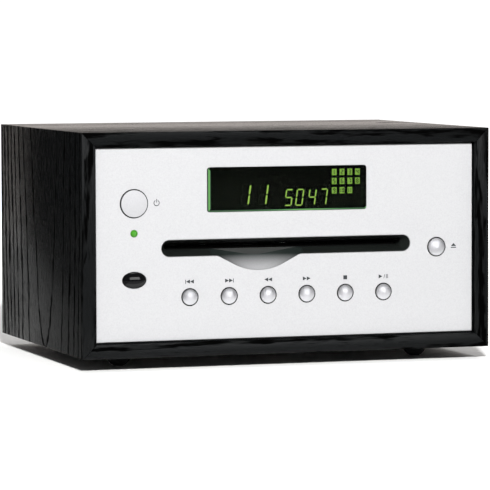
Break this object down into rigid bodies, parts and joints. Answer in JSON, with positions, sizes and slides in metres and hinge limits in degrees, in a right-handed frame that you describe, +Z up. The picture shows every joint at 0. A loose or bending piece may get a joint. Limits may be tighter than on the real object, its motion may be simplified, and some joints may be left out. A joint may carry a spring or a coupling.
{
  "type": "cd player",
  "caption": "Compact table-top cd player: black ash cabinet, blasted metal front with a disc slot, thumb scoop, green display and domed push buttons, slot-loading mechanism inside.",
  "frame": {"origin": "on the surface the feet stand on, under the middle of the cabinet", "axes": "+X to the right seen from the front, +Y to the back, +Z up; the front panel faces -Y"},
  "size_m": [0.2126, 0.1582, 0.1169],
  "materials": {
    "black_ash": "open-pored black stained ash, satin",
    "black_plastic": "fine moulded",
    "black_rubber": "matte",
    "black_screw": "black zinc",
    "black_steel": "fine texture powder coat",
    "brass": "turned",
    "clear_lens": "polished",
    "coil_tape": "polyester tape",
    "dark_acrylic": "polished tinted acrylic",
    "display_glass": "gloss",
    "felt": "short pile",
    "gloss_black": "gloss",
    "green_board": "solder mask",
    "green_lens": "diffused lens",
    "jack_metal": "nickel plated",
    "lamination": "varnished laminations",
    "plain_wood": "raw",
    "polished_steel": "ground and polished",
    "ribbon": "smooth",
    "satin_chrome": "satin plated",
    "silver_metal": "fine bead-blasted",
    "white_plastic": "moulded",
    "zinc_screw": "zinc plated",
    "zinc_steel": "zinc plated"
  },
  "bodies": {
    "cabinet": {"board_components": "black_plastic", "bottom_board": "black_ash", "cabinet_screws": "black_screw", "chassis_plate": "zinc_steel", "corner_blocks": "plain_wood", "display_module": "display_glass", "display_window": "dark_acrylic", "drive_belt": "black_rubber", "feed_motor": "zinc_steel", "front_circuit_board": "green_board", "front_frame": "black_plastic", "front_panel": "silver_metal", "front_ribbon": "ribbon", "guide_rods": "polished_steel", "left_board": "black_ash", "loading_motor": "zinc_steel", "machine_screws": "zinc_screw", "main_circuit_board": "green_board", "mains_inlet": "black_plastic", "mechanism_cover": "zinc_steel", "mechanism_tray": "zinc_steel", "optical_socket": "black_plastic", "phono_jacks": "jack_metal", "rear_panel": "black_steel", "remote_receiver": "black_plastic", "remote_window": "gloss_black", "right_board": "black_ash", "rubber_dampers": "black_rubber", "rubber_feet": "black_rubber", "slot_liner": "black_plastic", "slot_seals": "felt", "spindle_motor": "zinc_steel", "status_light": "green_lens", "support_posts": "zinc_steel", "tact_switches": "black_plastic", "top_board": "black_ash", "transformer_coil": "coil_tape", "transformer_core": "lamination", "traverse_deck": "black_plastic"},
    "spindle": {"turntable": "black_plastic"},
    "pickup": {"pickup_sled": "black_plastic", "objective_lens": "clear_lens"},
    "feed_screw": {"feed_screw": "polished_steel"},
    "roller_bracket": {"roller_bracket": "zinc_steel"},
    "roller": {"roller_shaft": "polished_steel", "loading_roller": "black_rubber", "roller_gear": "white_plastic"},
    "drive_pulley": {"drive_pulley": "white_plastic"},
    "motor_pulley": {"motor_pulley": "brass"},
    "clamp_arm": {"clamp_arm": "zinc_steel"},
    "clamp_puck": {"clamp_puck": "white_plastic"},
    "optical_shutter": {"optical_shutter": "black_plastic"},
    "skip_back_button": {"skip_back_button": "satin_chrome"},
    "skip_forward_button": {"skip_forward_button": "satin_chrome"},
    "search_back_button": {"search_back_button": "satin_chrome"},
    "search_forward_button": {"search_forward_button": "satin_chrome"},
    "stop_button": {"stop_button": "satin_chrome"},
    "play_pause_button": {"play_pause_button": "satin_chrome"},
    "eject_button": {"eject_button": "satin_chrome"},
    "power_button": {"power_button": "satin_chrome"}
  },
  "joints": [
    {"name": "skip_back_press", "type": "slide", "parent": "cabinet", "child": "skip_back_button", "axis": [0, 1, 0], "range_m": [0, 0.0006], "stiffness_N_per_m": 300, "springref_m": -0.0008},
    {"name": "skip_forward_press", "type": "slide", "parent": "cabinet", "child": "skip_forward_button", "axis": [0, 1, 0], "range_m": [0, 0.0006], "stiffness_N_per_m": 300, "springref_m": -0.0008},
    {"name": "search_back_press", "type": "slide", "parent": "cabinet", "child": "search_back_button", "axis": [0, 1, 0], "range_m": [0, 0.0006], "stiffness_N_per_m": 300, "springref_m": -0.0008},
    {"name": "search_forward_press", "type": "slide", "parent": "cabinet", "child": "search_forward_button", "axis": [0, 1, 0], "range_m": [0, 0.0006], "stiffness_N_per_m": 300, "springref_m": -0.0008},
    {"name": "stop_press", "type": "slide", "parent": "cabinet", "child": "stop_button", "axis": [0, 1, 0], "range_m": [0, 0.0006], "stiffness_N_per_m": 300, "springref_m": -0.0008},
    {"name": "play_pause_press", "type": "slide", "parent": "cabinet", "child": "play_pause_button", "axis": [0, 1, 0], "range_m": [0, 0.0006], "stiffness_N_per_m": 300, "springref_m": -0.0008},
    {"name": "eject_press", "type": "slide", "parent": "cabinet", "child": "eject_button", "axis": [0, 1, 0], "range_m": [0, 0.0006], "stiffness_N_per_m": 300, "springref_m": -0.0008},
    {"name": "power_press", "type": "slide", "parent": "cabinet", "child": "power_button", "axis": [0, 1, 0], "range_m": [0, 0.0008], "stiffness_N_per_m": 300, "springref_m": -0.0008},
    {"name": "spindle_spin", "type": "hinge", "parent": "cabinet", "child": "spindle", "pos_m": [0, 0.0045, 0.05505], "axis": [0, 0, 1], "continuous": true},
    {"name": "feed_screw_turn", "type": "hinge", "parent": "cabinet", "child": "feed_screw", "pos_m": [0.03, 0.0295, 0.05205], "axis": [1, 0, 0], "range_deg": [0, 4081]},
    {"name": "pickup_travel", "type": "slide", "parent": "cabinet", "child": "pickup", "axis": [1, 0, 0], "range_m": [0, 0.034]},
    {"name": "bracket_tilt", "type": "hinge", "parent": "cabinet", "child": "roller_bracket", "pos_m": [0, -0.03737, 0.04796], "axis": [1, 0, 0], "range_deg": [0, 5], "stiffness_Nm_per_rad": 0.06, "springref_deg": -22.92},
    {"name": "roller_spin", "type": "hinge", "parent": "roller_bracket", "child": "roller", "pos_m": [0, -0.0485, 0.05505], "axis": [1, 0, 0], "continuous": true},
    {"name": "pulley_spin", "type": "hinge", "parent": "roller_bracket", "child": "drive_pulley", "pos_m": [0.07, -0.03737, 0.04796], "axis": [1, 0, 0], "continuous": true},
    {"name": "motor_spin", "type": "hinge", "parent": "cabinet", "child": "motor_pulley", "pos_m": [0.068, -0.02537, 0.05036], "axis": [1, 0, 0], "continuous": true},
    {"name": "clamp_swing", "type": "hinge", "parent": "cabinet", "child": "clamp_arm", "pos_m": [0, 0.061, 0.07115], "axis": [1, 0, 0], "range_deg": [0, 2], "stiffness_Nm_per_rad": 0.15, "springref_deg": -17.19},
    {"name": "puck_spin", "type": "hinge", "parent": "clamp_arm", "child": "clamp_puck", "pos_m": [0, 0.0045, 0.06995], "axis": [0, 0, 1], "continuous": true},
    {"name": "shutter_swing", "type": "hinge", "parent": "cabinet", "child": "optical_shutter", "pos_m": [0.02, 0.07115, 0.0327], "axis": [-1, 0, 0], "range_deg": [0, 80], "stiffness_Nm_per_rad": 0.0006, "springref_deg": -17.19}
  ],
  "couplings": [
    {"joint": "feed_screw_turn", "follows": "pickup_travel", "rad_per_m": 2094.4},
    {"joint": "pulley_spin", "follows": "roller_spin", "ratio": -0.83333},
    {"joint": "motor_spin", "follows": "roller_spin", "ratio": -2},
    {"joint": "puck_spin", "follows": "spindle_spin", "ratio": 1}
  ]
}
